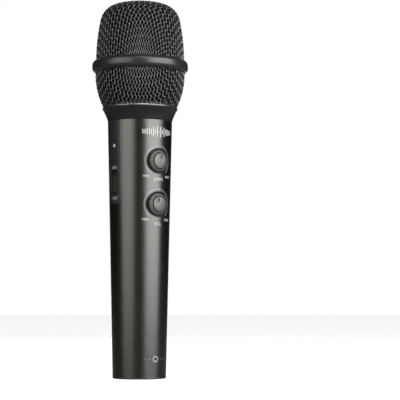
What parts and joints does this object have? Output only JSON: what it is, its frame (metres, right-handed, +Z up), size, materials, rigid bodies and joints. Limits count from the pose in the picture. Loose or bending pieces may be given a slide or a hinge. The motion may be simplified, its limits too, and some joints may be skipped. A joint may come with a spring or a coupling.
{
  "type": "karaoke microphone",
  "caption": "Hand-held karaoke microphone: tapered metal handle, woven grille with a band, gain and volume dials, slide switch, and headphone and USB-C sockets in the tail.",
  "frame": {"origin": "centre of the tail rim, where the microphone stands on a flat surface", "axes": "+Z up the axis to the grille's top; the two dials face -Y and the switch panel faces -X; the headphone jack is on the -Y side of the tail"},
  "size_m": [0.05, 0.05, 0.1957],
  "materials": {
    "grille_wire": "satin black lacquer on woven steel wire",
    "band_paint": "satin black lacquer",
    "collar_paint": "satin black lacquer",
    "wind_foam": "open-cell black foam",
    "ring_metal": "turned",
    "seal_rubber": "matt",
    "capsule_metal": "plain",
    "diaphragm_gold": "gold-sputtered film",
    "brass_metal": "turned",
    "circuit_board": "solder mask over glass laminate",
    "chip_plastic": "moulded epoxy",
    "header_plastic": "moulded",
    "lead_insulation": "extruded",
    "frame_plastic": "moulded",
    "handle_anodised": "satin gunmetal anodised",
    "screw_steel": "plain",
    "bezel_plastic": "moulded",
    "pot_body": "pressed",
    "dial_plastic": "serrated, moulded",
    "dial_silver": "satin turned",
    "panel_plastic": "fine spark texture",
    "slider_plastic": "moulded",
    "led_white": "moulded",
    "lens_clear": "clear light pipe",
    "cap_plastic": "satin moulded",
    "socket_nickel": "nickel plated"
  },
  "bodies": {
    "microphone": {"grille_dome": "grille_wire", "grille_skirt": "grille_wire", "grille_band": "band_paint", "foam_dome": "wind_foam", "foam_skirt": "wind_foam", "grille_base_ring": "ring_metal", "collar": "collar_paint", "collar_seal": "seal_rubber", "head_ring": "ring_metal", "capsule_housing": "capsule_metal", "capsule_cover": "capsule_metal", "capsule_clamp_ring": "ring_metal", "capsule_diaphragm": "diaphragm_gold", "capsule_backplate": "brass_metal", "capsule_board": "circuit_board", "shock_ring": "seal_rubber", "capsule_cradle": "frame_plastic", "capsule_leads": "lead_insulation", "capsule_plug": "header_plastic", "body_tube": "handle_anodised", "chassis": "frame_plastic", "main_board": "circuit_board", "main_board_chips": "chip_plastic", "board_screws": "screw_steel", "gain_bezel": "bezel_plastic", "volume_bezel": "bezel_plastic", "gain_pot": "pot_body", "volume_pot": "pot_body", "switch_panel": "panel_plastic", "slide_switch": "capsule_metal", "switch_board": "circuit_board", "switch_header": "header_plastic", "status_led": "led_white", "led_lens": "lens_clear", "base_cap": "cap_plastic", "jack_ring": "socket_nickel", "jack_body": "header_plastic", "jack_pins": "brass_metal", "usb_shell": "socket_nickel", "usb_housing": "header_plastic", "usb_tongue": "header_plastic", "port_board": "circuit_board", "port_screws": "screw_steel", "port_header": "header_plastic"},
    "gain_dial": {"gain_dial": "dial_plastic", "gain_dial_cap": "dial_silver", "gain_shaft": "screw_steel"},
    "volume_dial": {"volume_dial": "dial_plastic", "volume_dial_cap": "dial_silver", "volume_shaft": "screw_steel"},
    "switch_button": {"switch_slider": "slider_plastic"}
  },
  "joints": [
    {"name": "gain_turn", "type": "hinge", "parent": "microphone", "child": "gain_dial", "pos_m": [0, -0.0163, 0.1111], "axis": [0, 1, 0], "range_deg": [-159, 121]},
    {"name": "volume_turn", "type": "hinge", "parent": "microphone", "child": "volume_dial", "pos_m": [0, -0.0158, 0.089], "axis": [0, 1, 0], "range_deg": [-116, 164]},
    {"name": "switch_slide", "type": "slide", "parent": "microphone", "child": "switch_button", "axis": [0, 0, 1], "range_m": [0, 0.0022]}
  ]
}
